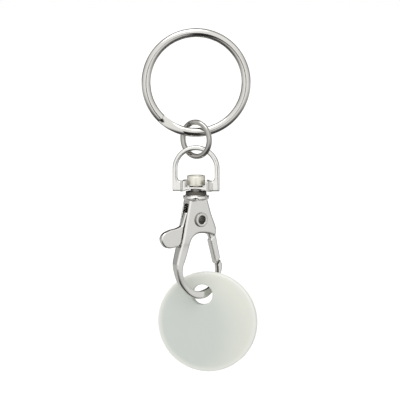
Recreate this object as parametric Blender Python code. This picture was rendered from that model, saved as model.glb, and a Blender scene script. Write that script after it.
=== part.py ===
# Coin holder keyring: a key ring, a small link ring, a swivel trigger hook and a plastic token.
# The ring lies in the XZ plane and everything hangs below the point where the ring itself hangs.
# Lengths are in metres, +Z is up, and -Y is the side that faces the viewer.

import math

import bmesh
import bpy
from mathutils import Matrix, Vector

# Clearances between pieces
seat_gap = 0.0003
bore_gap = 0.0001
coil_gap = 0.00043
cut_overrun = 0.002

# Key ring: two turns of flattened spring wire
ring_outer_diameter = 0.0251
ring_wire_width = 0.00212
ring_wire_thickness = 0.00078
ring_seat_rise = 0.00040

# Link ring: the same form, smaller
link_outer_diameter = 0.0091
link_wire_width = 0.00120
link_wire_thickness = 0.00036
link_seat_rise = 0.00052

# Swivel eye: the D-shaped eye and its thick base
eye_width = 0.01085
eye_height = 0.0106
eye_leg_width = 0.00112
eye_depth = 0.00120
eye_edge_round = 0.00034
eye_corner_round = 0.00080
eye_base_height = 0.00235
eye_boss_step = 0.00012
eye_boss_radius = 0.0036
eye_boss_half_depth = 0.00215
eye_pocket_radius = 0.00305
eye_floor_top = 0.00110
eye_arch_height = 0.00072
eye_arch_half_span = 0.0032

# Swivel post: a hollow rivet
post_head_radius = 0.0021
post_bore_radius = 0.00075
post_wall = 0.00050
post_top_rise = 0.00365
post_rim_width = 0.00050
post_rim_round = 0.00016
post_cone_depth = 0.00095

# Hook body
hook_reach = 0.0069
hook_drop = 0.0231
hook_edge_round = 0.00042
hook_cheek_half_depth = 0.0015
hook_bar_half_depth = 0.00068
hook_nose_half_depth = 0.00080
slot_half_width = 0.00095
flange_radius = 0.0030
flange_thickness = 0.00093
flange_edge_round = 0.00022
flange_drop = 0.00088
flange_notch_radius = 0.00052
neck_radius = 0.0024
bridge_thickness = 0.0009

# Trigger lever
lever_half_thickness = 0.00065
gate_half_depth = 0.00081
lever_edge_round = 0.00026

# Pivot rivet
rivet_bore_radius = 0.0010
rivet_wall = 0.00026
rivet_rim_radius = 0.00164
rivet_rim_height = 0.00045
rivet_rim_round = 0.00014

# Trigger spring: a small coil between the lever's shoulder and the roof of the slot
spring_wire_diameter = 0.00024
spring_outer_diameter = 0.00112
spring_turns = 2

# Token
coin_diameter = 0.02325
coin_thickness = 0.0020
coin_edge_round = 0.00040
coin_hole_diameter = 0.0047
coin_hole_offset = 0.0064
coin_hole_round = 0.00034

# How the pieces are turned about the vertical, in degrees
ring_turn = 2
link_turn = -40
eye_turn = -5
hook_turn = 35
coin_turn = -12
coin_lean = 9.8

# Coil routes, in degrees: where the wire crosses from the front turn to the back one, and over what angle
ring_cross_angle = 243
ring_cross_span = 28
link_cross_angle = 215
link_cross_span = 44
coil_end_margin = 3

# Flattened wire: squarer than an ellipse
wire_squareness_share = 0.9

# Sides and steps of the round forms, and the angle in degrees above which an edge stays sharp
sharp_from = 35
curve_steps = 3
spring_steps = 10
spring_sides = 6
arch_steps = 28
ring_steps = 112
ring_sides = 14
link_steps = 64
link_sides = 12
round_steps = 48
coin_steps = 72

# Half outlines of the hook, as shares of its reach (to the right) and of its drop (downwards).
# The first run follows the outside from the left shoulder round the bar to the nose.
hook_outer_shares = (
    (-0.375, 0.000), (-0.472, -0.130), (-0.572, -0.265), (-0.655, -0.393), (-0.750, -0.492),
    (-0.858, -0.612), (-0.868, -0.665), (-0.834, -0.722), (-0.725, -0.824), (-0.555, -0.895),
    (-0.323, -0.960), (-0.098, -0.996), (0.130, -1.009), (0.350, -1.002), (0.540, -0.973),
    (0.720, -0.915), (0.866, -0.842), (0.968, -0.765), (1.015, -0.705), (0.990, -0.665),
)
# The second run follows the inside from the nose back to the crotch.
hook_inner_shares = (
    (0.800, -0.674), (0.820, -0.712), (0.826, -0.750), (0.778, -0.807), (0.672, -0.858),
    (0.535, -0.898), (0.395, -0.917), (0.230, -0.929), (0.065, -0.929), (-0.130, -0.911),
    (-0.327, -0.873), (-0.496, -0.813), (-0.604, -0.738), (-0.602, -0.665), (-0.515, -0.597),
    (-0.412, -0.503), (-0.325, -0.410),
)
# The last run follows the crotch and the lower right corner up to the right shoulder.
hook_crotch_shares = (
    (-0.325, -0.410), (-0.240, -0.374), (-0.090, -0.348), (0.055, -0.342), (0.250, -0.347),
    (0.430, -0.358), (0.600, -0.378),
)
hook_shoulder_shares = (
    (0.672, -0.374), (0.702, -0.345), (0.694, -0.300), (0.632, -0.249), (0.491, -0.150), (0.338, 0.000),
)
nose_tip_share = (0.940, -0.626)

# The slot that the lever turns in, open to the left and at the lower right
slot_shares = (
    (-1.700, -0.039), (0.190, -0.039), (0.305, -0.065), (0.305, -0.160), (0.480, -0.216),
    (0.950, -0.260), (0.950, -0.416), (-0.260, -0.416), (-0.435, -0.459), (-1.700, -0.489),
)

# The lever's web and thumb tab, from the head down the left side and back inside the slot
lever_left_shares = (
    (-0.110, -0.065), (-0.130, -0.126), (-0.455, -0.126), (-0.535, -0.188), (-0.625, -0.252),
)
tab_shares = (
    (-1.050, -0.268), (-1.285, -0.291), (-1.400, -0.319), (-1.446, -0.356), (-1.400, -0.398),
    (-1.285, -0.438), (-1.100, -0.454), (-0.850, -0.447), (-0.680, -0.437),
)
lever_right_shares = (
    (-0.400, -0.388), (-0.200, -0.330), (0.040, -0.300), (0.330, -0.308), (0.450, -0.345),
    (0.560, -0.425), (0.700, -0.425), (0.570, -0.290), (0.390, -0.215), (0.210, -0.160),
    (0.055, -0.150), (0.050, -0.070),
)
# The gate arm below the body, with its slanted end
gate_shares = (
    (0.528, -0.420), (0.690, -0.372), (0.748, -0.375), (0.812, -0.472), (0.894, -0.574),
    (0.920, -0.610), (0.757, -0.668),
)

# Pivot, spring seat and the middle of the bar where the token hangs, by the same shares
pivot_share = (0.050, -0.203)
spring_share = -0.285
spring_roof_share = -0.039
spring_shoulder_share = -0.126
bar_share = (0.286, -0.966)
notch_share = -0.250

# How the casting slims: a share of the way down, and the share left of its extra depth there
hook_taper_shares = (
    (0.00, 1.00), (0.37, 1.00), (0.48, 0.72), (0.65, 0.58), (0.76, 0.42), (0.85, 0.15), (0.92, 0.00),
)
hook_nose_from_share = 0.2


def remove_old_objects():
    for old in list(bpy.data.objects):
        bpy.data.objects.remove(old, do_unlink=True)


def make_material(name, colour, roughness, metallic):
    material = bpy.data.materials.new(name)
    material.use_nodes = True
    shader = material.node_tree.nodes["Principled BSDF"]
    shader.inputs["Base Color"].default_value = (*colour, 1)
    shader.inputs["Roughness"].default_value = roughness
    shader.inputs["Metallic"].default_value = metallic
    return material


def make_empty(name, location, turn_degrees, parent=None):
    empty = bpy.data.objects.new(name, None)
    bpy.context.collection.objects.link(empty)
    empty.location = location
    empty.rotation_euler = (0, 0, math.radians(turn_degrees))
    empty.parent = parent
    return empty


def make_object(name, bm, parent=None, material=None):
    bmesh.ops.recalc_face_normals(bm, faces=bm.faces)
    mesh = bpy.data.meshes.new(name)
    bm.to_mesh(mesh)
    bm.free()
    mesh.shade_smooth()
    mesh.set_sharp_from_angle(angle=math.radians(sharp_from))
    thing = bpy.data.objects.new(name, mesh)
    bpy.context.collection.objects.link(thing)
    thing.parent = parent
    if material:
        mesh.materials.append(material)
    return thing


def make_cutter(name, bm, parent):
    cutter = make_object(name, bm, parent)
    cutter.hide_render = True
    cutter.display_type = "WIRE"
    return cutter


def add_boolean(target, tool, operation):
    step = target.modifiers.new(tool.name, "BOOLEAN")
    step.operation = operation
    step.solver = "EXACT"
    step.object = tool


def smooth_run(points, steps):
    # A Catmull-Rom curve through the points, ends included
    run = []
    for index in range(len(points) - 1):
        before = Vector(points[max(index - 1, 0)])
        start = Vector(points[index])
        end = Vector(points[index + 1])
        after = Vector(points[min(index + 2, len(points) - 1)])
        for step in range(steps):
            t = step / steps
            spot = (2 * start + (end - before) * t + (2 * before - 5 * start + 4 * end - after) * t ** 2
                    + (3 * start - 3 * end + after - before) * t ** 3) / 2
            run.append(tuple(spot))
    run.append(tuple(points[-1]))
    return run


def hook_point(share):
    return (share[0] * hook_reach, share[1] * hook_drop)


def hook_points(shares):
    return [hook_point(share) for share in shares]


def plate(outline, half_depth, edge_round=0, round_segments=2):
    # A flat outline in the XZ plane, made half_depth thick to each side, with its rim rounded
    bm = bmesh.new()
    corners = [bm.verts.new((x, -half_depth, z)) for x, z in outline]
    face = bm.faces.new(corners)
    grown = bmesh.ops.extrude_face_region(bm, geom=[face])
    moved = [item for item in grown["geom"] if isinstance(item, bmesh.types.BMVert)]
    bmesh.ops.translate(bm, verts=moved, vec=(0, 2 * half_depth, 0))
    if edge_round:
        rims = [edge for edge in bm.edges if abs(edge.verts[0].co.y - edge.verts[1].co.y) < half_depth]
        bmesh.ops.bevel(bm, geom=rims, offset=edge_round, offset_type="OFFSET", affect="EDGES",
                        segments=round_segments, profile=0.5, clamp_overlap=True)
    return bm


def turned(profile, steps):
    # A closed profile of (radius, height) points turned about Z
    bm = bmesh.new()
    corners = [bm.verts.new((radius, 0, height)) for radius, height in profile]
    edges = [bm.edges.new((corners[i], corners[(i + 1) % len(corners)])) for i in range(len(corners))]
    bmesh.ops.spin(bm, geom=corners + edges, cent=(0, 0, 0), axis=(0, 0, 1), angle=math.tau, steps=steps,
                   use_merge=True, use_duplicate=False)
    bmesh.ops.recalc_face_normals(bm, faces=bm.faces)
    return bm


def turned_solid(profile, steps):
    # An open profile that starts and ends on the Z axis, turned into a solid
    bm = bmesh.new()
    corners = [bm.verts.new((radius, 0, height)) for radius, height in profile]
    edges = [bm.edges.new((corners[i], corners[i + 1])) for i in range(len(corners) - 1)]
    bmesh.ops.spin(bm, geom=corners + edges, cent=(0, 0, 0), axis=(0, 0, 1), angle=math.tau, steps=steps,
                   use_merge=True, use_duplicate=False)
    bmesh.ops.remove_doubles(bm, verts=bm.verts, dist=bore_gap * 0.01)
    bmesh.ops.recalc_face_normals(bm, faces=bm.faces)
    return bm


def quarter_round(centre, radius, start_degrees, end_degrees, steps=3):
    points = []
    for step in range(steps + 1):
        angle = math.radians(start_degrees + (end_degrees - start_degrees) * step / steps)
        points.append((centre[0] + radius * math.cos(angle), centre[1] + radius * math.sin(angle)))
    return points


def wire_section(width, thickness, sides):
    # A flattened round: points of (radial, axial) offset, squarer than an ellipse
    points = []
    for side in range(sides):
        angle = math.tau * (side + 0.5) / sides
        radial = math.copysign(abs(math.cos(angle)) ** wire_squareness_share, math.cos(angle)) * width / 2
        axial = math.copysign(abs(math.sin(angle)) ** wire_squareness_share, math.sin(angle)) * thickness / 2
        points.append((radial, axial))
    return points


def split_coil(mean_radius, width, thickness, cross_angle, cross_span, steps, sides):
    # Two turns in the XZ plane: the front turn crosses to the back one where cross_angle says
    pitch = thickness + coil_gap
    reach = math.tau - math.radians(cross_span / 2 + coil_end_margin)
    section = wire_section(width, thickness, sides)
    bm = bmesh.new()
    rings = []
    middle = []
    for step in range(steps + 1):
        along = -reach + 2 * reach * step / steps
        angle = math.radians(cross_angle) - along
        blend = min(max(along / math.radians(cross_span) + 0.5, 0), 1)
        blend = blend * blend * (3 - 2 * blend)
        depth = pitch * (blend - 0.5)
        ring = []
        for radial, axial in section:
            radius = mean_radius + radial
            ring.append(bm.verts.new((radius * math.cos(angle), depth + axial, radius * math.sin(angle))))
        rings.append(ring)
        middle.append(Vector((mean_radius * math.cos(angle), depth, mean_radius * math.sin(angle))))
    for first, second in zip(rings, rings[1:]):
        for side in range(sides):
            after = (side + 1) % sides
            bm.faces.new((first[side], first[after], second[after], second[side]))
    bm.faces.new(rings[0])
    bm.faces.new(rings[-1])
    print_least_gap(middle, thickness, steps // 4)
    return bm


def print_least_gap(middle, thickness, apart):
    least = min((a - b).length for i, a in enumerate(middle) for b in middle[i + apart:])
    print("least gap of the coil to itself, in metres:", round(least - thickness, 6))


def helix(length, outer_diameter, wire_diameter, turns, steps_per_turn, sides):
    # A coil up the Z axis with straight-cut ends, one unbroken tube
    radius = (outer_diameter - wire_diameter) / 2
    steps = turns * steps_per_turn
    lead = (length - wire_diameter) / steps
    bm = bmesh.new()
    rings = []
    middle = []
    for step in range(steps + 1):
        angle = math.tau * step / steps_per_turn
        outward = Vector((math.cos(angle), math.sin(angle), 0))
        centre = outward * radius + Vector((0, 0, wire_diameter / 2 + lead * step))
        ring = []
        for side in range(sides):
            turn = math.tau * side / sides
            offset = outward * math.cos(turn) + Vector((0, 0, math.sin(turn)))
            ring.append(bm.verts.new(centre + offset * wire_diameter / 2))
        rings.append(ring)
        middle.append(centre)
    for first, second in zip(rings, rings[1:]):
        for side in range(sides):
            after = (side + 1) % sides
            bm.faces.new((first[side], first[after], second[after], second[side]))
    bm.faces.new(rings[0])
    bm.faces.new(rings[-1])
    print_least_gap(middle, wire_diameter, steps_per_turn * 3 // 4)
    return bm


remove_old_objects()

# Plated steel for the rings, plated zinc casting for the hook, milky plastic for the token
ring_metal = make_material("nickel plated wire", (0.78, 0.77, 0.75), 0.12, 1.0)
cast_metal = make_material("chrome plated zinc casting", (0.74, 0.73, 0.71), 0.16, 1.0)
rivet_metal = make_material("nickel plated rivet", (0.76, 0.75, 0.71), 0.18, 1.0)
spring_metal = make_material("bright spring wire", (0.55, 0.55, 0.55), 0.3, 1.0)
token_plastic = make_material("milky token plastic", (0.80, 0.82, 0.79), 0.5, 0.0)

# Levels, worked out downwards from the point where the key ring hangs
ring_inner_radius = ring_outer_diameter / 2 - ring_wire_width
ring_mean_radius = ring_inner_radius + ring_wire_width / 2
ring_centre_level = -ring_inner_radius
link_inner_radius = link_outer_diameter / 2 - link_wire_width
link_mean_radius = link_inner_radius + link_wire_width / 2
link_centre_level = -2 * ring_inner_radius + seat_gap + ring_seat_rise - link_inner_radius
link_floor_level = link_centre_level - link_inner_radius
eye_base_level = link_floor_level + seat_gap + link_seat_rise - (eye_height - eye_leg_width)
flange_top_level = eye_base_level - flange_drop
hook_level = flange_top_level - flange_thickness

# Frames that carry the pieces, each at its own joint
ring_frame = make_empty("ring_frame", (0, 0, ring_centre_level), ring_turn)
link_frame = make_empty("link_frame", (0, 0, link_centre_level), link_turn)
eye_frame = make_empty("eye_frame", (0, 0, eye_base_level), eye_turn)
hook_frame = make_empty("hook_frame", (0, 0, hook_level), hook_turn)


# Key ring and link ring
make_object("split_ring", split_coil(ring_mean_radius, ring_wire_width, ring_wire_thickness, ring_cross_angle,
                                     ring_cross_span, ring_steps, ring_sides), ring_frame, ring_metal)
make_object("link_ring", split_coil(link_mean_radius, link_wire_width, link_wire_thickness, link_cross_angle,
                                    link_cross_span, link_steps, link_sides), link_frame, ring_metal)


def rounded_section(half_depth, edge_round):
    # Corners of a band's section: which edge they belong to, how far in from it, and the depth
    rising, falling = (0, 45, 90), (90, 45, 0)
    section = []
    for edge, side, angles in ((0, -1, rising), (0, 1, falling), (1, 1, rising), (1, -1, falling)):
        for angle in angles:
            inset = edge_round * (1 - math.sin(math.radians(angle)))
            depth = half_depth - edge_round * (1 - math.cos(math.radians(angle)))
            section.append((edge, inset, side * depth))
    return section


def eye_band():
    # The D: two legs and a round arch above, a straight base below, as one closed band
    arch_radius = eye_width / 2
    arch_level = eye_height - arch_radius
    inner_radius = arch_radius - eye_leg_width
    corner = eye_corner_round
    pairs = [((-arch_radius, 0), (-inner_radius + corner, eye_base_height))]
    for x, z in quarter_round((-inner_radius + corner, eye_base_height + corner), corner, 270, 180)[1:]:
        pairs.append(((-arch_radius, z - eye_base_height), (x, z)))
    for step in range(arch_steps + 1):
        angle = math.pi - math.pi * step / arch_steps
        across, up = math.cos(angle), math.sin(angle)
        pairs.append(((arch_radius * across, arch_level + arch_radius * up),
                      (inner_radius * across, arch_level + inner_radius * up)))
    for x, z in quarter_round((inner_radius - corner, eye_base_height + corner), corner, 0, -90)[:-1]:
        pairs.append(((arch_radius, z - eye_base_height), (x, z)))
    pairs.append(((arch_radius, 0), (inner_radius - corner, eye_base_height)))
    section = rounded_section(eye_depth / 2, eye_edge_round)
    bm = bmesh.new()
    rings = []
    for outer, inner in pairs:
        inward = (Vector(inner) - Vector(outer)).normalized()
        ring = []
        for edge, inset, depth in section:
            spot = Vector(inner) - inward * inset if edge else Vector(outer) + inward * inset
            ring.append(bm.verts.new((spot[0], depth, spot[1])))
        rings.append(ring)
    for first, second in zip(rings, rings[1:] + rings[:1]):
        for side in range(len(section)):
            after = (side + 1) % len(section)
            bm.faces.new((first[side], first[after], second[after], second[side]))
    return bm


def eye_boss():
    # A round boss with a flat cut front and back
    flat_angle = math.asin(eye_boss_half_depth / eye_boss_radius)
    side_steps = 12
    outline = []
    for side in (0, 1):
        for step in range(side_steps + 1):
            angle = math.pi * side - flat_angle + 2 * flat_angle * step / side_steps
            outline.append((eye_boss_radius * math.cos(angle), eye_boss_radius * math.sin(angle)))
    bm = bmesh.new()
    face = bm.faces.new([bm.verts.new((x, y, -eye_boss_step)) for x, y in outline])
    grown = bmesh.ops.extrude_face_region(bm, geom=[face])
    top = [item for item in grown["geom"] if isinstance(item, bmesh.types.BMVert)]
    bmesh.ops.translate(bm, verts=top, vec=(0, 0, eye_base_height + 2 * eye_boss_step))
    return bm


def round_bar(radius, low, high, steps):
    return turned_solid([(0, low), (radius, low), (radius, high), (0, high)], steps)


# Swivel eye: the band and the boss joined, with the post's pocket, its hole and the arch below cut out
shank_radius = post_bore_radius + post_wall
eye_hole_radius = shank_radius + bore_gap * 2
arch_radius = (eye_arch_half_span ** 2 + eye_arch_height ** 2) / (2 * eye_arch_height)
swivel_eye = make_object("swivel_eye", eye_band(), eye_frame, cast_metal)
boss = make_cutter("eye_boss_form", eye_boss(), eye_frame)
pocket = make_cutter("eye_pocket_cut", round_bar(eye_pocket_radius, eye_floor_top,
                                                 eye_base_height + cut_overrun, round_steps), eye_frame)
hole = make_cutter("eye_hole_cut", round_bar(eye_hole_radius, -cut_overrun, eye_base_height + cut_overrun,
                                             round_steps), eye_frame)
arch_half_length = eye_boss_radius + cut_overrun
arch_bar = round_bar(arch_radius, -arch_half_length, arch_half_length, round_steps * 2)
bmesh.ops.rotate(arch_bar, verts=arch_bar.verts, cent=(0, 0, 0), matrix=Matrix.Rotation(math.pi / 2, 3, "X"))
bmesh.ops.translate(arch_bar, verts=arch_bar.verts, vec=(0, 0, eye_arch_height - arch_radius))
arch = make_cutter("eye_arch_cut", arch_bar, eye_frame)
add_boolean(swivel_eye, boss, "UNION")
add_boolean(swivel_eye, pocket, "DIFFERENCE")
add_boolean(swivel_eye, hole, "DIFFERENCE")
add_boolean(swivel_eye, arch, "DIFFERENCE")


taper_run = smooth_run(hook_taper_shares, curve_steps)


def hook_half_depth(share):
    # The casting is thickest at the cheeks, slims down the arm and stays slim round the bar and the nose
    along, down = share
    if along > hook_nose_from_share and down < hook_crotch_shares[-1][1]:
        mix = min(max((down + 1) / (1 + nose_tip_share[1]), 0), 1)
        return hook_bar_half_depth + (hook_nose_half_depth - hook_bar_half_depth) * mix
    for (level, value), (next_level, next_value) in zip(taper_run, taper_run[1:]):
        if level <= -down <= next_level:
            mix = (-down - level) / (next_level - level)
            return hook_bar_half_depth + min(value + (next_value - value) * mix, 1) * (
                hook_cheek_half_depth - hook_bar_half_depth)
    return hook_bar_half_depth


def hook_casting():
    outline = smooth_run(hook_points(hook_outer_shares), curve_steps)
    outline += [hook_point(nose_tip_share)]
    outline += smooth_run(hook_points(hook_inner_shares), curve_steps)[:-1]
    outline += smooth_run(hook_points(hook_crotch_shares), curve_steps)
    outline += hook_points(hook_shoulder_shares)
    bm = plate(outline, hook_cheek_half_depth, hook_edge_round, curve_steps)
    bmesh.ops.triangulate(bm, faces=[face for face in bm.faces if len(face.verts) > 4],
                          quad_method="BEAUTY", ngon_method="BEAUTY")
    for vert in bm.verts:
        half_depth = hook_half_depth((vert.co.x / hook_reach, vert.co.z / hook_drop))
        vert.co.y *= half_depth / hook_cheek_half_depth
    return bm


def flange_and_neck():
    round_over = flange_edge_round
    top = flange_thickness
    profile = [(0, -bridge_thickness / 2), (hook_cheek_half_depth, -bridge_thickness / 2),
               (hook_cheek_half_depth, 0)]
    profile += quarter_round((flange_radius - round_over, round_over), round_over, -90, 0, 2)
    profile += quarter_round((flange_radius - round_over, top - round_over), round_over, 0, 90, 2)
    profile += [(neck_radius, top), (neck_radius, neck_top_level), (0, neck_top_level)]
    return turned_solid(profile, round_steps)


# Hook body: the casting, its flange and neck, less the post's bore, the slot, the rivet's hole and a notch
neck_top_level = flange_thickness + flange_drop
hook_bore_radius = shank_radius + bore_gap
pivot_u, pivot_z = hook_point(pivot_share)
rivet_barrel_radius = rivet_bore_radius + rivet_wall
pivot_hole_radius = rivet_barrel_radius + bore_gap


def across_bar(radius, half_length, centre, steps):
    # A round bar along the hook's depth, centred on a point of the hook's plane
    bm = round_bar(radius, -half_length, half_length, steps)
    bmesh.ops.rotate(bm, verts=bm.verts, cent=(0, 0, 0), matrix=Matrix.Rotation(math.pi / 2, 3, "X"))
    bmesh.ops.translate(bm, verts=bm.verts, vec=(centre[0], 0, centre[1]))
    return bm


hook_body = make_object("hook_body", hook_casting(), hook_frame, cast_metal)
flange = make_cutter("flange_form", flange_and_neck(), hook_frame)
post_bore = make_cutter("post_bore_cut", round_bar(hook_bore_radius, -bridge_thickness - seat_gap,
                                                   neck_top_level + cut_overrun, round_steps), hook_frame)
slot = make_cutter("slot_cut", plate(hook_points(slot_shares), slot_half_width), hook_frame)
rivet_hole = make_cutter("rivet_hole_cut", across_bar(pivot_hole_radius, hook_cheek_half_depth + cut_overrun,
                                                      (pivot_u, pivot_z), round_steps), hook_frame)
notch_bar = across_bar(flange_notch_radius, cut_overrun, (notch_share * hook_reach, 0), round_steps // 2)
bmesh.ops.translate(notch_bar, verts=notch_bar.verts, vec=(0, -hook_cheek_half_depth - cut_overrun, 0))
notch = make_cutter("flange_notch_cut", notch_bar, hook_frame)
add_boolean(hook_body, flange, "UNION")
add_boolean(hook_body, post_bore, "DIFFERENCE")
add_boolean(hook_body, slot, "DIFFERENCE")
add_boolean(hook_body, rivet_hole, "DIFFERENCE")
add_boolean(hook_body, notch, "DIFFERENCE")


def post_profile():
    # Barrel and rolled head inside the eye, with a shank that goes down through the eye into the hook
    head_floor = eye_floor_top + seat_gap
    top = post_top_rise
    mouth_radius = post_head_radius - post_rim_width
    rim = post_rim_round
    bottom = -(flange_drop + flange_thickness) - bridge_thickness + bore_gap
    profile = [(post_bore_radius, bottom), (shank_radius, bottom), (shank_radius, head_floor),
               (post_head_radius, head_floor)]
    profile += quarter_round((post_head_radius - rim, top - rim), rim, 0, 90)
    profile += quarter_round((mouth_radius + rim, top - rim), rim, 90, 180)
    profile += [(post_bore_radius, top - post_cone_depth)]
    return profile


# Swivel post, on the swivel axis and fixed to the hook
make_object("swivel_post", turned(post_profile(), round_steps),
            make_empty("post_frame", (0, 0, eye_base_level), hook_turn), rivet_metal)


def rivet_profile():
    # A tube with a rolled rim outside each cheek
    rim_foot = hook_cheek_half_depth + bore_gap / 2
    rim_top = rim_foot + rivet_rim_height
    round_over = rivet_rim_round
    profile = quarter_round((rivet_bore_radius + round_over, -rim_top + round_over), round_over, 180, 270, 2)
    profile += quarter_round((rivet_rim_radius - round_over, -rim_top + round_over), round_over, 270, 360, 2)
    profile += [(rivet_rim_radius, -rim_foot), (rivet_barrel_radius, -rim_foot),
                (rivet_barrel_radius, rim_foot), (rivet_rim_radius, rim_foot)]
    profile += quarter_round((rivet_rim_radius - round_over, rim_top - round_over), round_over, 0, 90, 2)
    profile += quarter_round((rivet_bore_radius + round_over, rim_top - round_over), round_over, 90, 180, 2)
    return profile


# Pivot rivet, across the hook through both cheeks
rivet = turned(rivet_profile(), round_steps)
bmesh.ops.rotate(rivet, verts=rivet.verts, cent=(0, 0, 0), matrix=Matrix.Rotation(math.pi / 2, 3, "X"))
pivot_rivet = make_object("pivot_rivet", rivet, hook_frame, rivet_metal)
pivot_rivet.location = (pivot_u, 0, pivot_z)

# Trigger lever: the thin web with the thumb tab, the thicker gate arm and the rivet's hole, on the pivot
lever_frame = make_empty("lever_frame", (pivot_u, 0, pivot_z), 0, hook_frame)


def about_pivot(points):
    return [(x - pivot_u, z - pivot_z) for x, z in points]


def lever_web():
    outline = hook_points(lever_left_shares)
    outline += smooth_run(hook_points(tab_shares), 3)
    outline += hook_points(lever_right_shares)
    return plate(about_pivot(outline), lever_half_thickness, lever_edge_round)


trigger_lever = make_object("trigger_lever", lever_web(), lever_frame, cast_metal)
gate_outline = about_pivot(hook_points(gate_shares))
gate = make_cutter("gate_form", plate(gate_outline, gate_half_depth, lever_edge_round), lever_frame)
lever_hole = make_cutter("lever_hole_cut", across_bar(pivot_hole_radius, lever_half_thickness + cut_overrun,
                                                      (0, 0), round_steps), lever_frame)
add_boolean(trigger_lever, gate, "UNION")
add_boolean(trigger_lever, lever_hole, "DIFFERENCE")

# Trigger spring, upright between the lever's shoulder and the roof of the slot
spring_foot = spring_shoulder_share * hook_drop + bore_gap
spring_length = spring_roof_share * hook_drop - bore_gap - spring_foot
spring_coil = helix(spring_length, spring_outer_diameter, spring_wire_diameter, spring_turns, spring_steps,
                    spring_sides)
trigger_spring = make_object("trigger_spring", spring_coil, hook_frame, spring_metal)
trigger_spring.location = (spring_share * hook_reach, 0, spring_foot)


def coin_profile():
    radius = coin_diameter / 2
    half = coin_thickness / 2
    round_over = coin_edge_round
    profile = [(0, -half)]
    profile += quarter_round((radius - round_over, -half + round_over), round_over, 270, 360)
    profile += quarter_round((radius - round_over, half - round_over), round_over, 0, 90)
    profile += [(0, half)]
    return profile


def coin_hole_profile():
    # The hole with its two rims rounded: it widens towards each face
    radius = coin_hole_diameter / 2
    half = coin_thickness / 2
    round_over = coin_hole_round
    profile = [(0, -half - cut_overrun), (radius + round_over, -half - cut_overrun)]
    profile += quarter_round((radius + round_over, -half + round_over), round_over, 270, 180)
    profile += quarter_round((radius + round_over, half - round_over), round_over, 180, 90)
    profile += [(radius + round_over, half + cut_overrun), (0, half + cut_overrun)]
    return profile


# Token: a disc hung by its hole on the middle of the bar, leaning a little to one side
bar_u, bar_z = hook_point(bar_share)
turn_radians = math.radians(hook_turn)
coin_spot = (bar_u * math.cos(turn_radians), bar_u * math.sin(turn_radians), hook_level + bar_z)
coin_frame = make_empty("coin_frame", coin_spot, coin_turn)
coin_frame.rotation_euler = (0, math.radians(-coin_lean), math.radians(coin_turn))


def lay_across(bm, drop):
    bmesh.ops.rotate(bm, verts=bm.verts, cent=(0, 0, 0), matrix=Matrix.Rotation(math.pi / 2, 3, "X"))
    bmesh.ops.translate(bm, verts=bm.verts, vec=(0, 0, -drop))
    return bm


coin = make_object("coin", lay_across(turned_solid(coin_profile(), coin_steps), coin_hole_offset),
                   coin_frame, token_plastic)
hole_form = lay_across(turned_solid(coin_hole_profile(), round_steps), 0)
coin_hole = make_cutter("coin_hole_cut", hole_form, coin_frame)
add_boolean(coin, coin_hole, "DIFFERENCE")
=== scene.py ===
import math

import bmesh
import bpy
from mathutils import Matrix, Vector


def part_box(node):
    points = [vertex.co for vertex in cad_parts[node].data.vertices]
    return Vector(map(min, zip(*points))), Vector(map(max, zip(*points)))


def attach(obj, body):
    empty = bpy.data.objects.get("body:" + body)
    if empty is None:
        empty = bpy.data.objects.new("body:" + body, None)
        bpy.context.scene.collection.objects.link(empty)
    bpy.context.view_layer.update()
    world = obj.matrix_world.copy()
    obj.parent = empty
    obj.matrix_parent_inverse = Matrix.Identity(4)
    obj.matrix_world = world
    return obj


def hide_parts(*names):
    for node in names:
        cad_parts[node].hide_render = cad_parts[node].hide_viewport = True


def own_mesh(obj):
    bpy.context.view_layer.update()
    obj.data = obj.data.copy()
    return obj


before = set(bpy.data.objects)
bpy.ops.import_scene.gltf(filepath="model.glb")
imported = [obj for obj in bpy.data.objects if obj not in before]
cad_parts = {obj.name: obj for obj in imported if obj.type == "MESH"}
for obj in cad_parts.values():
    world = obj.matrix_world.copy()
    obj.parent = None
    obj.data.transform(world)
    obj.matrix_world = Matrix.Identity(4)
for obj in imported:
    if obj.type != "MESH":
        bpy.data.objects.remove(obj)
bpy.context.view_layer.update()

# Metal keyring with a swivel trigger hook and a plastic trolley token.
# Everything is in metres; +Z is up and -Y faces the camera.
mm = 0.001
seamWeld = 0.002 * mm       # joins the ends of a turned form
cadWeld = 0.001 * mm        # joins the corners that the CAD mesh has twice


def say(stage):
    print("stage:", stage)


# ---- small tools ----

def toLinear(hexCode):
    channels = [int(hexCode[i:i + 2], 16) / 255 for i in (1, 3, 5)]
    return tuple(c / 12.92 if c <= 0.04045 else ((c + 0.055) / 1.055) ** 2.4 for c in channels) + (1.0,)


def addNode(tree, kind, settings=None, **links):
    # settings: socket name or node property -> value
    # links: socket name with _ for a space, or _ and its number -> the output to join, or a number
    node = tree.nodes.new(kind)
    for key, value in (settings or {}).items():
        if key in node.inputs:
            node.inputs[key].default_value = value
        else:
            setattr(node, key, value)
    for key, source in links.items():
        socket = node.inputs[int(key[1:]) if key[0] == "_" else key.replace("_", " ")]
        if isinstance(source, (int, float)):
            socket.default_value = source
        else:
            tree.links.new(source, socket)
    return node


def smoothRamp(tree, value, ends, atLow=0.0, atHigh=1.0):
    # A soft step from atLow to atHigh as the value passes from one end to the other
    low, high = ends
    return addNode(tree, "ShaderNodeMapRange", {"interpolation_type": "SMOOTHSTEP", "From Min": low,
                   "From Max": high, "To Min": atLow, "To Max": atHigh}, Value=value).outputs["Result"]


def newMaterial(name):
    material = bpy.data.materials.new(name)
    material.use_nodes = True
    return material, material.node_tree, material.node_tree.nodes["Principled BSDF"]


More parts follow.
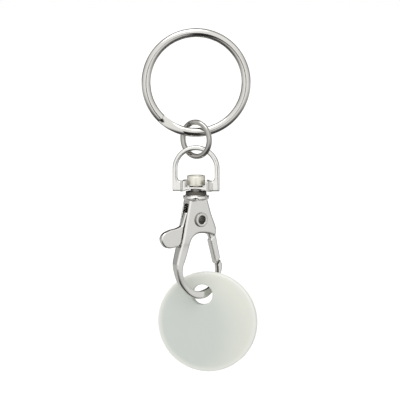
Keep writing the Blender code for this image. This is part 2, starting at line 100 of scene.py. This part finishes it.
def finishPiece(bm, name, body, nodes, material, sharpFrom, inside=None):
    # One closed mesh at the origin, riding on its CAD body in place of its CAD nodes
    # sharpFrom: the angle from which an edge stays sharp, or 0 where none does
    # inside: a second material, for painted shade, on the faces that the form marked with index 1
    mesh = bpy.data.meshes.new(name)
    bm.to_mesh(mesh)
    bm.free()
    mesh.shade_smooth()
    if sharpFrom:
        mesh.set_sharp_from_angle(angle=math.radians(sharpFrom))
    piece = bpy.data.objects.new(name, mesh)
    bpy.context.collection.objects.link(piece)
    mesh.materials.append(material)
    if inside:
        mesh.materials.append(inside)
    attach(piece, body)
    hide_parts(*nodes)
    return piece


def turnProfile(profile, steps, closed=True):
    # (radius, height) points turned about Z
    bm = bmesh.new()
    corners = [bm.verts.new((r, 0, z)) for r, z in profile]
    pairs = list(zip(corners, corners[1:])) + ([(corners[-1], corners[0])] if closed else [])
    edges = [bm.edges.new(pair) for pair in pairs]
    bmesh.ops.spin(bm, geom=corners + edges, cent=(0, 0, 0), axis=(0, 0, 1), angle=math.tau, steps=steps,
                   use_merge=True, use_duplicate=False)
    bmesh.ops.remove_doubles(bm, verts=bm.verts, dist=seamWeld)
    bmesh.ops.recalc_face_normals(bm, faces=bm.faces)
    return bm


def markFaces(bm, test):
    # Gives index 1 to the faces whose middle and normal pass the test
    bm.normal_update()
    for face in bm.faces:
        if test(face.calc_center_median(), face.normal):
            face.material_index = 1
    return bm


def arc(centre, radius, fromDegrees, toDegrees, steps):
    turns = [math.radians(fromDegrees + (toDegrees - fromDegrees) * i / steps) for i in range(steps + 1)]
    return [(centre[0] + radius * math.cos(t), centre[1] + radius * math.sin(t)) for t in turns]


def bake(bm, modifiers):
    # Runs modifiers on a throwaway object and gives the result back as a bmesh
    # The vertex group "soft" carries the weights that a form wrote, if it wrote any
    mesh = bpy.data.meshes.new("bake")
    bm.to_mesh(mesh)
    bm.free()
    thing = bpy.data.objects.new("bake", mesh)
    bpy.context.collection.objects.link(thing)
    thing.vertex_groups.new(name="soft")
    for kind, settings in modifiers:
        step = thing.modifiers.new(kind.lower(), kind)
        for key, value in settings.items():
            setattr(step, key, value)
    bpy.context.view_layer.update()
    done = thing.evaluated_get(bpy.context.evaluated_depsgraph_get())
    result = bmesh.new()
    result.from_mesh(done.to_mesh())
    done.to_mesh_clear()
    bpy.data.objects.remove(thing, do_unlink=True)
    bpy.data.meshes.remove(mesh)
    return result


# ---- camera ----

camera = {
    "elevation": 7.0,        # degrees above level
    "distance": 0.95,
    "frameWidth": 0.09208,   # what 400 pixels span at the object
    "target": (0.0009, 0.0, -0.03757),
    "clip": (0.01, 50),
}
lift = math.radians(camera["elevation"])
back = Vector((0, -math.cos(lift), math.sin(lift)))
cameraData = bpy.data.cameras.new("photoCamera")
cameraData.lens = cameraData.sensor_width * camera["distance"] / camera["frameWidth"]
cameraData.clip_start, cameraData.clip_end = camera["clip"]
photoCamera = bpy.data.objects.new("photoCamera", cameraData)
photoCamera.location = Vector(camera["target"]) + back * camera["distance"]
photoCamera.rotation_euler = (-back).to_track_quat("-Z", "Y").to_euler()
bpy.context.collection.objects.link(photoCamera)
bpy.context.scene.camera = photoCamera
say("camera")

# ---- materials ----

plate = {
    "markSize": 0.22 * mm, "markStretch": (1.0, 1.0, 0.16), "markTurn": (0.5, 0.9, 0.3), "markStrength": 0.4,
    "markRange": (0.3, 0.75),
    "smoothest": 0.7, "roughest": 1.5,       # shares of the metal's own roughness
    "cloudSize": 3.0 * mm, "cloudShade": 0.93,
}


def platedMetal(name, hexCode, roughness, waveMm, waveHeight, scratchHeight, metallic=1.0):
    # Bright plate: the tint of the metal, faint waves from the surface below it, and hairline handling marks
    material, tree, shader = newMaterial(name)
    place = addNode(tree, "ShaderNodeTexCoord").outputs["Object"]
    waves = addNode(tree, "ShaderNodeTexNoise", {"Scale": 1 / (waveMm * mm), "Detail": 2.0, "Roughness": 0.4},
                    Vector=place)
    stretched = addNode(tree, "ShaderNodeMapping",
                        {"Scale": plate["markStretch"], "Rotation": plate["markTurn"]}, Vector=place)
    marks = addNode(tree, "ShaderNodeTexNoise",
                    {"Scale": 1 / plate["markSize"], "Detail": 6.0, "Roughness": 0.7},
                    Vector=stretched.outputs["Vector"])
    cloud = addNode(tree, "ShaderNodeTexNoise", {"Scale": 1 / plate["cloudSize"], "Detail": 3.0},
                    Vector=place)
    tint = addNode(tree, "ShaderNodeMix", {"data_type": "RGBA"}, Factor=cloud.outputs["Fac"])
    base = toLinear(hexCode)
    tint.inputs["A"].default_value = base
    tint.inputs["B"].default_value = tuple(c * plate["cloudShade"] for c in base[:3]) + (1.0,)
    tree.links.new(tint.outputs["Result"], shader.inputs["Base Color"])
    least, most = plate["markRange"]
    rough = addNode(tree, "ShaderNodeMapRange",
                    {"From Min": least, "From Max": most, "To Min": roughness * plate["smoothest"],
                     "To Max": roughness * plate["roughest"]}, Value=marks.outputs["Fac"])
    tree.links.new(rough.outputs["Result"], shader.inputs["Roughness"])
    wavy = addNode(tree, "ShaderNodeBump", {"Strength": 1.0, "Distance": waveHeight * mm},
                   Height=waves.outputs["Fac"])
    worn = addNode(tree, "ShaderNodeBump",
                   {"Strength": plate["markStrength"], "Distance": scratchHeight * mm},
                   Height=marks.outputs["Fac"], Normal=wavy.outputs["Normal"])
    tree.links.new(worn.outputs["Normal"], shader.inputs["Normal"])
    shader.inputs["Metallic"].default_value = metallic
    return material


# Nickel plated spring wire: smooth rolled faces, warm white metal
nickelWire = platedMetal("nickel plated wire", "#DCDAD5", 0.09, 2.6, 0.010, 0.0012)
# The small ring's wire has a darker, greyer copy of the plate
greyerWire = platedMetal("greyer nickel plate on wire", "#BEBCB7", 0.12, 1.6, 0.010, 0.0014)
# Chrome plate over a zinc die casting: a little wavier, slightly cooler
chromeCasting = platedMetal("chrome plated zinc casting", "#EAE9E5", 0.12, 1.4, 0.008, 0.0012)
# Satin nickel under lacquer on the turned post: the warmest, and softly lit
nickelPost = platedMetal("satin nickel under lacquer", "#F8F5E9", 0.36, 0.8, 0.008, 0.0016, metallic=0.75)
# Nickel plated rivet: rolled over, brighter and cooler
nickelRivet = platedMetal("nickel plated rivet", "#E0DFDB", 0.16, 0.8, 0.008, 0.0016)
# Painted shade inside a bore, round the post's shank and on the outer wall of a rivet's rim: a dull darker
# steel, so holes and outlines read dark
paintedBoreShade = platedMetal("steel with painted shade in a bore", "#B2AFA9", 0.45, 0.6, 0.006, 0.0030)
# Painted shade on cast faces that meet another piece: dark grey between eye and flange and where the gate
# shuts
paintedCastShade = platedMetal("zinc casting with painted shade", "#6C6963", 0.5, 0.5, 0.008, 0.0040)
# Drawn spring wire, left unplated, and darker still as painted shade, so it looks dark between the cheeks
drawnWireAndShade = platedMetal("drawn spring wire with painted shade", "#6A6A68", 0.3, 0.5, 0.006, 0.0020)
say("metals")

# ---- wound rings ----


def woundWire(ring):
    # Two turns of wire pressed flat where they meet: a round section spun a step at a time, then each ring of
    # points shaped, convex on the side away from the other turn, and shifted back where the turns cross
    reach = 360 - ring["crossSpan"] / 2 - ring["endMargin"]
    pitch = ring["thickness"] + ring["gap"]
    half = ring["thickness"] / 2
    bm = bmesh.new()
    through = bm.verts.layers.float.new("through")
    turned = bm.verts.layers.float.new("turned")
    section = bmesh.ops.create_circle(bm, cap_ends=False, segments=ring["sides"], radius=1)["verts"]
    for vert in section:
        vert[through], vert[turned] = vert.co.y, -reach
        vert.co.x *= ring["width"] / 2
        vert.co.y = 0
    bmesh.ops.translate(bm, verts=section, vec=(ring["outer"] / 2 - ring["width"] / 2, 0, 0))
    start = Matrix.Rotation(-math.radians(ring["crossAngle"] + reach), 3, "Y")
    bmesh.ops.rotate(bm, verts=section, cent=(0, 0, 0), matrix=start)
    geom = section + bm.edges[:]
    stepDegrees = 2 * reach / ring["steps"]
    for step in range(ring["steps"]):
        made = bmesh.ops.spin(bm, geom=geom, cent=(0, 0, 0), axis=(0, 1, 0), dvec=(0, 0, 0),
                              angle=math.radians(stepDegrees), steps=1, use_duplicate=False)
        geom = [item for item in made["geom_last"] if not isinstance(item, bmesh.types.BMFace)]
        for vert in geom:
            if isinstance(vert, bmesh.types.BMVert):
                vert[turned] = -reach + (step + 1) * stepDegrees
    for vert in bm.verts:
        share = min(max(vert[turned] / ring["crossSpan"] + 0.5, 0), 1)
        share = share * share * (3 - 2 * share)
        waist = ring["waist"] * (1 - 2 * share)
        bulge = 1 + waist if vert[through] < 0 else 1 - waist
        vert.co.y = pitch * (share - 0.5) + half * (waist + bulge * vert[through])
    openEdges = [edge for edge in bm.edges if edge.is_boundary]
    caps = bmesh.ops.holes_fill(bm, edges=openEdges, sides=0)["faces"]
    rims = list({edge for face in caps for edge in face.edges})
    bmesh.ops.bevel(bm, geom=rims, offset=ring["endBevel"], offset_type="OFFSET", affect="EDGES", segments=3,
                    profile=0.5, material=-1, clamp_overlap=True)
    bmesh.ops.recalc_face_normals(bm, faces=bm.faces)
    place = Matrix.Translation(ring["centre"]) @ Matrix.Rotation(math.radians(ring["turn"]), 4, "Z")
    bmesh.ops.transform(bm, matrix=place, verts=bm.verts)
    return bm


ringLow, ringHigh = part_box("split_ring")
keyRing = {
    "outer": 25.03 * mm, "width": 2.06 * mm, "thickness": 0.975 * mm, "gap": 0.04 * mm,
    "waist": 0.70,           # how far the widest point lies towards the other turn
    "crossAngle": 243, "crossSpan": 28, "endMargin": 3, "endBevel": 0.10 * mm, "steps": 300, "sides": 28,
    "turn": 2, "centre": (0, 0, (ringLow.z + ringHigh.z) / 2),
}
finishPiece(woundWire(keyRing), "keyRingWire", "key_ring", ["split_ring"], nickelWire,
            sharpFrom=50)

linkLow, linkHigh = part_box("link_ring")
linkRing = {
    "outer": 9.08 * mm, "width": 1.18 * mm, "thickness": 0.55 * mm, "gap": 0.04 * mm,
    "waist": 0.55,
    "crossAngle": 155, "crossSpan": 24, "endMargin": 2, "endBevel": 0.07 * mm, "steps": 200, "sides": 24,
    "turn": -40, "centre": (0, 0, (linkLow.z + linkHigh.z) / 2),
}
finishPiece(woundWire(linkRing), "linkRingWire", "link", ["link_ring"], greyerWire,
            sharpFrom=50)
say("wound rings")

# ---- cast pieces ----


def castForm(node, finish):
    # The CAD form as a casting: every edge and corner softened as the plated metal is
    # crispFrom: the level above which a turned part keeps its edges
    bm = bmesh.new()
    bm.from_mesh(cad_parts[node].data)
    bmesh.ops.remove_doubles(bm, verts=bm.verts, dist=cadWeld)
    bmesh.ops.scale(bm, vec=(1 / mm, 1 / mm, 1 / mm), verts=bm.verts)   # worked in millimetres
    bm = bake(bm, [
        ("REMESH", {"mode": "VOXEL", "voxel_size": finish["grain"], "use_smooth_shade": True}),
        ("SMOOTH", {"factor": 0.5, "iterations": finish["crispness"]}),
    ])
    weights = bm.verts.layers.deform.verify()
    crispFrom = finish.get("crispFrom", math.inf) / mm
    for vert in bm.verts:
        vert[weights][0] = min(max((crispFrom - vert.co.z) / crispBlend, 0), 1)
    bm = bake(bm, [
        ("SMOOTH", {"factor": 0.5, "iterations": finish["softness"] - finish["crispness"],
                    "vertex_group": "soft"}),
    ])
    bmesh.ops.scale(bm, vec=(mm, mm, mm), verts=bm.verts)
    return bm


hookTurn = 35               # degrees about the vertical, for all that the hook carries
hookWay = Matrix.Rotation(math.radians(hookTurn), 3, "Z")
acrossHook, throughHook = hookWay @ Vector((1, 0, 0)), hookWay @ Vector((0, 1, 0))
crispBlend = 0.3            # mm over which the softening fades out

# In each casting's settings grain is in millimetres, and softness and crispness are smoothing steps
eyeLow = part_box("swivel_eye")[0]
eye = {
    "grain": 0.060, "softness": 26, "crispness": 8,
    "holeRadius": 1.6 * mm, "archRadius": 2.9 * mm, "archRise": 1.45 * mm, "archFacing": -0.8,
}


def shadeRoundPost(middle, normal):
    # painted shade on the hole and the arched underside of the eye
    arch = normal.z < eye["archFacing"] and middle.xy.length < eye["archRadius"]
    hole = middle.xy.length < eye["holeRadius"]
    return (arch or hole) and middle.z < eyeLow.z + eye["archRise"]


eyeForm = markFaces(castForm("swivel_eye", eye), shadeRoundPost)
finishPiece(eyeForm, "swivelEyeCasting", "eye", ["swivel_eye"], chromeCasting,
            sharpFrom=0, inside=paintedCastShade)

hookLow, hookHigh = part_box("hook_body")
hook = {
    "grain": 0.090, "softness": 38, "crispness": 6,
    "crispFrom": hookHigh.z - 1.85 * mm,     # the flange is turned, so it keeps its edges
    "neckDrop": 0.78 * mm,
    "seatFrom": 4.0 * mm, "seatTop": 9.5 * mm, "seatNear": -0.3 * mm, "seatFacing": -0.35,
}


def shadeNeckOrSeat(middle, normal):
    # painted shade on the boss above the hook's flange, and on the near edge of the wall inside the nose
    # where the gate closes
    inNose = middle.dot(acrossHook) > hook["seatFrom"] and middle.z < hookLow.z + hook["seatTop"]
    seat = inNose and normal.dot(acrossHook) < hook["seatFacing"]
    near = middle.dot(throughHook) < hook["seatNear"]
    return (seat and near) or middle.z > hookHigh.z - hook["neckDrop"]


hookForm = markFaces(castForm("hook_body", hook), shadeNeckOrSeat)
finishPiece(hookForm, "hookCasting", "hook", ["hook_body"], chromeCasting,
            sharpFrom=0, inside=paintedCastShade)

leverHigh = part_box("trigger_lever")[1]
lever = {
    "grain": 0.070, "softness": 22, "crispness": 8,
    "tabFrom": 3.4 * mm, "tabOver": 2.6 * mm, "tabDrop": 0.42 * mm,
    "gateFrom": 1 * mm, "gateTop": 7.8 * mm, "gateOver": 0.9 * mm,
    "farOver": 0.6 * mm, "farOut": 0.25 * mm,
}


def lowerTab(bm):
    # the thumb tab hangs a little outside the hook
    for vert in bm.verts:
        out = min(max((-vert.co.dot(acrossHook) - lever["tabFrom"]) / lever["tabOver"], 0), 1)
        vert.co.z -= lever["tabDrop"] * out * out * (3 - 2 * out)
    return bm


def deepenGate(bm):
    # below the cheeks the gate's far side stands out a little
    for vert in bm.verts:
        below = min(max((leverHigh.z - lever["gateTop"] - vert.co.z) / lever["gateOver"], 0), 1)
        far = min(max(vert.co.dot(throughHook) / lever["farOver"], 0), 1)
        if vert.co.dot(acrossHook) > lever["gateFrom"]:
            vert.co += throughHook * (lever["farOut"] * below * far)
    return bm


leverForm = deepenGate(lowerTab(castForm("trigger_lever", lever)))
finishPiece(leverForm, "triggerCasting", "trigger", ["trigger_lever"], chromeCasting,
            sharpFrom=0)
say("castings")

# ---- swivel post ----

post = {
    "headRadius": 2.1 * mm, "boreRadius": 0.75 * mm, "shankRadius": 1.25 * mm, "headFoot": 1.40 * mm,
    "top": 3.65 * mm, "rimWidth": 0.5 * mm, "rimRound": 0.2 * mm, "coneDepth": 0.95 * mm,
    # painted shade starts this far inside the mouth and below the head
    "mouthEdge": 0.02 * mm, "shankEdge": 0.05 * mm, "sides": 128,
}
postLow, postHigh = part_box("swivel_post")
postBase = postHigh.z - post["top"]


def postForm():
    foot = postLow.z - postBase
    rim = post["rimRound"]
    mouth = post["headRadius"] - post["rimWidth"]
    profile = [(post["boreRadius"], foot), (post["shankRadius"], foot)]
    profile += [(post["shankRadius"], post["headFoot"])]
    profile += arc((post["headRadius"] - rim / 2, post["headFoot"] + rim / 2), rim / 2, -90, 0, 4)
    profile += arc((post["headRadius"] - rim, post["top"] - rim), rim, 0, 90, 6)
    profile += arc((mouth + rim, post["top"] - rim), rim, 90, 180, 6)
    profile += arc((post["boreRadius"] + rim, post["top"] - post["coneDepth"] - rim), rim, 70, 180, 4)
    bm = turnProfile(profile, post["sides"])
    # the bore's mouth and the shank below the head get painted shade
    markFaces(bm, lambda middle, normal: middle.xy.length < mouth - post["mouthEdge"]
              or middle.z < post["headFoot"] - post["shankEdge"])
    bmesh.ops.translate(bm, vec=(0, 0, postBase), verts=bm.verts)
    return bm


finishPiece(postForm(), "swivelPost", "hook", ["swivel_post"], nickelPost,
            sharpFrom=45, inside=paintedBoreShade)

# ---- pivot rivet ----

rivet = {
    "boreRadius": 1.0 * mm, "barrelRadius": 1.26 * mm, "rimRadius": 1.64 * mm, "rimFoot": 1.55 * mm,
    "rimTop": 2.0 * mm, "rimRound": 0.2 * mm, "lip": 0.12 * mm,
    # painted shade reaches this far outside the bore and inside the rim
    "boreEdge": 0.03 * mm, "rimEdge": 0.10 * mm, "sides": 128,
}
rivetLow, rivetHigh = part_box("pivot_rivet")
rivetCentre = (rivetLow + rivetHigh) / 2


def rivetForm():
    # A tube with a rolled rim outside each cheek
    outer, lip = rivet["rimRound"], rivet["lip"]
    profile = []
    for side in (-1, 1):
        half = [(rivet["barrelRadius"], rivet["rimFoot"] * side)]
        half += [(r, z * side) for r, z in [(rivet["rimRadius"], rivet["rimFoot"])]
                 + arc((rivet["rimRadius"] - outer, rivet["rimTop"] - outer), outer, 0, 90, 6)
                 + arc((rivet["boreRadius"] + lip, rivet["rimTop"] - lip), lip, 90, 180, 5)]
        profile += half if side > 0 else half[::-1]
    bm = turnProfile(profile, rivet["sides"])
    # the bore and the rim's outer wall get painted shade
    markFaces(bm, lambda middle, normal: middle.xy.length < rivet["boreRadius"] + rivet["boreEdge"]
              or middle.xy.length > rivet["rimRadius"] - rivet["rimEdge"])
    turn = Matrix.Rotation(math.radians(hookTurn), 4, "Z") @ Matrix.Rotation(math.pi / 2, 4, "X")
    bmesh.ops.transform(bm, matrix=Matrix.Translation(rivetCentre) @ turn, verts=bm.verts)
    return bm


finishPiece(rivetForm(), "pivotRivet", "hook", ["pivot_rivet"], nickelRivet,
            sharpFrom=45, inside=paintedBoreShade)
say("rivets")

# ---- trigger spring ----

springLow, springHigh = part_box("trigger_spring")
spring = {
    "wire": 0.24 * mm, "outer": 1.12 * mm, "turns": 3, "stepsPerTurn": 28, "sides": 12,
    "pressed": 0.35,         # share of its length left when the trigger is pressed home
}
springMiddle = (springLow + springHigh) / 2


def springForm():
    # A compression coil: a round section spun up the spring's own axis
    bm = bmesh.new()
    made = bmesh.ops.create_circle(bm, cap_ends=False, segments=spring["sides"], radius=spring["wire"] / 2)
    section = made["verts"]
    bmesh.ops.rotate(bm, verts=section, cent=(0, 0, 0), matrix=Matrix.Rotation(math.pi / 2, 3, "X"))
    middleRadius = (spring["outer"] - spring["wire"]) / 2
    bmesh.ops.translate(bm, verts=section, vec=(middleRadius, 0, spring["wire"] / 2))
    rise = (springHigh.z - springLow.z - spring["wire"]) / (spring["turns"] * spring["stepsPerTurn"])
    bmesh.ops.spin(bm, geom=section + bm.edges[:], cent=(0, 0, 0), axis=(0, 0, 1), dvec=(0, 0, rise),
                   angle=math.tau * spring["turns"], steps=spring["turns"] * spring["stepsPerTurn"],
                   use_duplicate=False)
    bmesh.ops.holes_fill(bm, edges=[edge for edge in bm.edges if edge.is_boundary], sides=0)
    bmesh.ops.recalc_face_normals(bm, faces=bm.faces)
    bmesh.ops.translate(bm, verts=bm.verts, vec=(springMiddle.x, springMiddle.y, springLow.z))
    return bm


coil = finishPiece(springForm(), "triggerSpring", "hook", ["trigger_spring"], drawnWireAndShade,
                   sharpFrom=50)
# the trigger's arm shortens it against the top of the slot
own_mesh(coil)
say("spring")

# ---- token ----

token = {
    "diameter": 23.23 * mm, "thickness": 2.0 * mm, "edgeRound": 0.42 * mm,
    "holeDiameter": 4.7 * mm, "holeOffset": 6.4 * mm, "holeRound": 0.36 * mm,
    "turn": -12, "lean": 9.8,
    "hole": (1.6168 * mm, 1.1321 * mm, -59.645 * mm),
    # shade: the centre of the painted shade; the colours below are painted shade, painted light and the rim's
    # painted highlight
    "shade": (-3.0 * mm, 0.9 * mm, -68.5 * mm),
    "paintedShadeColour": "#D6DCD5", "paintedLightColour": "#EBECE2",
    "middle": (2.7 * mm, 0.9 * mm, -65.95 * mm), "rimHighlightColour": "#F2F3EC",
    "sides": 180, "holeSides": 96, "punchOver": 1 * mm,
}
plastic = {
    "cloudSize": 6.0 * mm, "cloudShift": 3.0 * mm,
    # ramps for the painted shade and light, then for the painted highlight on the rim
    "shadeRamp": (8.5 * mm, 18.5 * mm), "rimHighlightRamp": (10.2 * mm, 11.8 * mm),
    "grainSize": 0.12 * mm, "grainHeight": 0.004 * mm, "grainStrength": 0.35, "roughness": (0.38, 0.52),
    "ior": 1.49, "scatter": 0.25, "scatterColours": (1.0, 1.0, 0.95), "scatterDepth": 0.8 * mm,
}


def milkyPlastic():
    # Injection moulded polypropylene: milky, lets a little light in, satin skin with a faint mould grain
    material, tree, shader = newMaterial("moulded polypropylene with painted light")
    place = addNode(tree, "ShaderNodeTexCoord").outputs["Object"]
    # painted light: paler and warmer away from the lower left, with painted shade towards the lower left
    fromShade = addNode(tree, "ShaderNodeVectorMath", {"operation": "DISTANCE"}, _0=place)
    fromShade.inputs[1].default_value = token["shade"]
    cloud = addNode(tree, "ShaderNodeTexNoise",
                    {"Scale": 1 / plastic["cloudSize"], "Detail": 3.0, "Roughness": 0.5}, Vector=place)
    uneven = addNode(tree, "ShaderNodeMath", {"operation": "MULTIPLY_ADD"}, _0=cloud.outputs["Fac"],
                     _1=plastic["cloudShift"], _2=fromShade.outputs["Value"])
    paler = smoothRamp(tree, uneven.outputs[0], plastic["shadeRamp"])
    tint = addNode(tree, "ShaderNodeMix", {"data_type": "RGBA"}, Factor=paler)
    tint.inputs["A"].default_value = toLinear(token["paintedShadeColour"])
    tint.inputs["B"].default_value = toLinear(token["paintedLightColour"])
    # and a painted highlight, palest, on the rounded rim
    fromMiddle = addNode(tree, "ShaderNodeVectorMath", {"operation": "DISTANCE"}, _0=place)
    fromMiddle.inputs[1].default_value = token["middle"]
    toRim = smoothRamp(tree, fromMiddle.outputs["Value"], plastic["rimHighlightRamp"])
    rimHighlightMix = addNode(tree, "ShaderNodeMix", {"data_type": "RGBA"}, Factor=toRim)
    rimHighlightMix.inputs["B"].default_value = toLinear(token["rimHighlightColour"])
    tree.links.new(tint.outputs["Result"], rimHighlightMix.inputs["A"])
    tree.links.new(rimHighlightMix.outputs["Result"], shader.inputs["Base Color"])
    grain = addNode(tree, "ShaderNodeTexNoise", {"Scale": 1 / plastic["grainSize"], "Detail": 3.0},
                    Vector=place)
    smoothest, roughest = plastic["roughness"]
    rough = addNode(tree, "ShaderNodeMapRange", {"To Min": smoothest, "To Max": roughest},
                    Value=grain.outputs["Fac"])
    tree.links.new(rough.outputs["Result"], shader.inputs["Roughness"])
    bump = addNode(tree, "ShaderNodeBump",
                   {"Strength": plastic["grainStrength"], "Distance": plastic["grainHeight"]},
                   Height=grain.outputs["Fac"])
    tree.links.new(bump.outputs["Normal"], shader.inputs["Normal"])
    shader.inputs["IOR"].default_value = plastic["ior"]
    shader.inputs["Subsurface Weight"].default_value = plastic["scatter"]
    shader.inputs["Subsurface Radius"].default_value = plastic["scatterColours"]
    shader.inputs["Subsurface Scale"].default_value = plastic["scatterDepth"]
    return material


def tokenForm():
    radius, half, soft = token["diameter"] / 2, token["thickness"] / 2, token["edgeRound"]
    rim = arc((radius - soft, -half + soft), soft, 270, 360, 7)
    rim += arc((radius - soft, half - soft), soft, 0, 90, 7)
    disc = turnProfile([(0, -half)] + rim + [(0, half)], token["sides"], closed=False)
    hole, lip, over = token["holeDiameter"] / 2, token["holeRound"], token["punchOver"]
    cut = [(0, -half - over), (hole + lip, -half - over)]
    cut += arc((hole + lip, -half + lip), lip, 270, 180, 7) + arc((hole + lip, half - lip), lip, 180, 90, 7)
    cut += [(hole + lip, half + over), (0, half + over)]
    punch = turnProfile(cut, token["holeSides"], closed=False)
    layFlat = Matrix.Rotation(math.pi / 2, 4, "X")
    belowHole = Matrix.Translation((0, 0, -token["holeOffset"]))
    bmesh.ops.transform(disc, matrix=belowHole @ layFlat, verts=disc.verts)
    bmesh.ops.transform(punch, matrix=layFlat, verts=punch.verts)
    punchMesh = bpy.data.meshes.new("punch")
    punch.to_mesh(punchMesh)
    punch.free()
    punchObject = bpy.data.objects.new("punch", punchMesh)
    bpy.context.collection.objects.link(punchObject)
    bm = bake(disc, [("BOOLEAN", {"operation": "DIFFERENCE", "solver": "EXACT", "object": punchObject})])
    bpy.data.objects.remove(punchObject, do_unlink=True)
    turn = Matrix.Rotation(math.radians(token["turn"]), 4, "Z")
    lean = Matrix.Rotation(math.radians(-token["lean"]), 4, "Y")
    bmesh.ops.transform(bm, matrix=Matrix.Translation(token["hole"]) @ (turn @ lean), verts=bm.verts)
    return bm


finishPiece(tokenForm(), "tokenDisc", "token", ["coin"], milkyPlastic(), sharpFrom=30)
say("token")

# ---- studio ----

studio = {
    "floorLevel": -0.45, "floorFront": 0.25, "floorBack": 6.0, "floorHalfWidth": 4.0,
    "card": "#D2D2D0", "cardRoughness": 0.9, "cardGlow": 0.62,
    "fill": 0.80,            # even light on matt surfaces
    "lamp": {"place": (-0.15, -0.25, 0.65), "size": (0.7, 0.5), "watts": 2.2},
}
# What the metal mirrors, with each ramp along one part of the direction it looks in, from -1 to 1
tent = {
    "ground": 0.08, "walls": 0.81, "wallRamp": (-0.80, -0.12),
    "roof": 1.40, "roofRamp": (0.25, 0.55), "front": 1.34, "frontRamp": (-0.95, -0.45),
    "gapWidth": 0.09, "gapFade": 0.04,
    "gapAhead": (-0.35, 0.0), "gapTop": (-0.10, 0.0), "gapFoot": (-0.92, -0.80),
    "sideDim": 0.48, "sideRamp": (-0.30, 0.15), "rearDim": 0.96, "rearRamp": (0.37, 0.55),
    "backdropRamp": (0.955, 0.99), "black": 0.02,
}


def whiteCard():
    # Matt white card: the camera sees it lit to white, its shade stays
    material, tree, shader = newMaterial("matt white card")
    shader.inputs["Base Color"].default_value = toLinear(studio["card"])
    shader.inputs["Roughness"].default_value = studio["cardRoughness"]
    rays = addNode(tree, "ShaderNodeLightPath")
    glow = addNode(tree, "ShaderNodeMath", {"operation": "MULTIPLY"}, _0=rays.outputs["Is Camera Ray"],
                   _1=studio["cardGlow"])
    shader.inputs["Emission Color"].default_value = (1, 1, 1, 1)
    tree.links.new(glow.outputs[0], shader.inputs["Emission Strength"])
    return material


floorBm = bmesh.new()
bmesh.ops.create_grid(floorBm, x_segments=4, y_segments=4, size=1)
depth = studio["floorBack"] - studio["floorFront"]
bmesh.ops.scale(floorBm, vec=(studio["floorHalfWidth"], depth / 2, 1), verts=floorBm.verts)
floorMiddle = (0, studio["floorFront"] + depth / 2, studio["floorLevel"])
bmesh.ops.translate(floorBm, vec=floorMiddle, verts=floorBm.verts)
floorMesh = bpy.data.meshes.new("studioFloor")
floorBm.to_mesh(floorMesh)
floorBm.free()
floor = bpy.data.objects.new("studioFloor", floorMesh)
bpy.context.collection.objects.link(floor)
floorMesh.materials.append(whiteCard())


def softBox(name, place, aim, size, watts):
    data = bpy.data.lights.new(name, "AREA")
    data.shape = "RECTANGLE"
    data.size, data.size_y = size
    data.energy = watts
    lamp = bpy.data.objects.new(name, data)
    lamp.location = place
    lamp.rotation_euler = (Vector(aim) - Vector(place)).to_track_quat("-Z", "Y").to_euler()
    bpy.context.collection.objects.link(lamp)


lampBox = studio["lamp"]
softBox("overheadBox", lampBox["place"], camera["target"], lampBox["size"], lampBox["watts"])


def studioWorld():
    # A pale tent with the dark gap for the camera in front, and dim sides behind
    world = bpy.data.worlds.new("studioWorld")
    bpy.context.scene.world = world
    world.use_nodes = True
    tree = world.node_tree
    ground = tree.nodes["Background"]
    way = addNode(tree, "ShaderNodeTexCoord").outputs["Generated"]
    parts = addNode(tree, "ShaderNodeSeparateXYZ", Vector=way)

    def combine(operation, first, second):
        return addNode(tree, "ShaderNodeMath", {"operation": operation}, _0=first, _1=second).outputs[0]

    sideways = addNode(tree, "ShaderNodeMath", {"operation": "ABSOLUTE"}, _0=parts.outputs["X"]).outputs[0]
    toFront, toTop = parts.outputs["Y"], parts.outputs["Z"]
    walls = smoothRamp(tree, toTop, tent["wallRamp"], tent["ground"], tent["walls"])
    roof = smoothRamp(tree, toTop, tent["roofRamp"], 1.0, tent["roof"])
    front = smoothRamp(tree, toFront, tent["frontRamp"], tent["front"], 1.0)
    light = combine("MULTIPLY", walls, combine("MAXIMUM", roof, front))
    # the camera gap: a narrow upright strip in front, below the lens
    ahead = smoothRamp(tree, toFront, tent["gapAhead"], 1.0, 0.0)
    narrow = smoothRamp(tree, sideways, (tent["gapWidth"], tent["gapWidth"] + tent["gapFade"]), 1.0, 0.0)
    strip = combine("MULTIPLY", ahead, narrow)
    height = combine("MULTIPLY", smoothRamp(tree, toTop, tent["gapTop"], 1.0, 0.0),
                     smoothRamp(tree, toTop, tent["gapFoot"], 0.0, 1.0))
    strip = combine("MULTIPLY", strip, height)
    # behind the object only the backdrop itself is bright
    sides = smoothRamp(tree, toFront, tent["sideRamp"], 0.0, tent["sideDim"])
    rear = smoothRamp(tree, toFront, tent["rearRamp"], 0.0, tent["rearDim"])
    rear = combine("MULTIPLY", combine("MAXIMUM", sides, rear),
                   smoothRamp(tree, toFront, tent["backdropRamp"], 1.0, 0.0))
    dark = combine("MAXIMUM", strip, rear)
    lit = combine("SUBTRACT", 1.0, dark)
    light = combine("MAXIMUM", combine("MULTIPLY", light, lit), tent["black"])
    rays = addNode(tree, "ShaderNodeLightPath")
    mirrored = combine("MAXIMUM", rays.outputs["Is Glossy Ray"], rays.outputs["Is Transmission Ray"])
    plain = addNode(tree, "ShaderNodeMix", {"data_type": "FLOAT"}, Factor=mirrored)
    plain.inputs["A"].default_value = studio["fill"]
    tree.links.new(light, plain.inputs["B"])
    seen = addNode(tree, "ShaderNodeMix", {"data_type": "FLOAT"}, Factor=rays.outputs["Is Camera Ray"])
    tree.links.new(plain.outputs["Result"], seen.inputs["A"])
    seen.inputs["B"].default_value = 1.0
    tree.links.new(seen.outputs["Result"], ground.inputs["Strength"])
    ground.inputs["Color"].default_value = (1, 1, 1, 1)


studioWorld()
bpy.context.scene.view_settings.view_transform = "Standard"
say("studio")
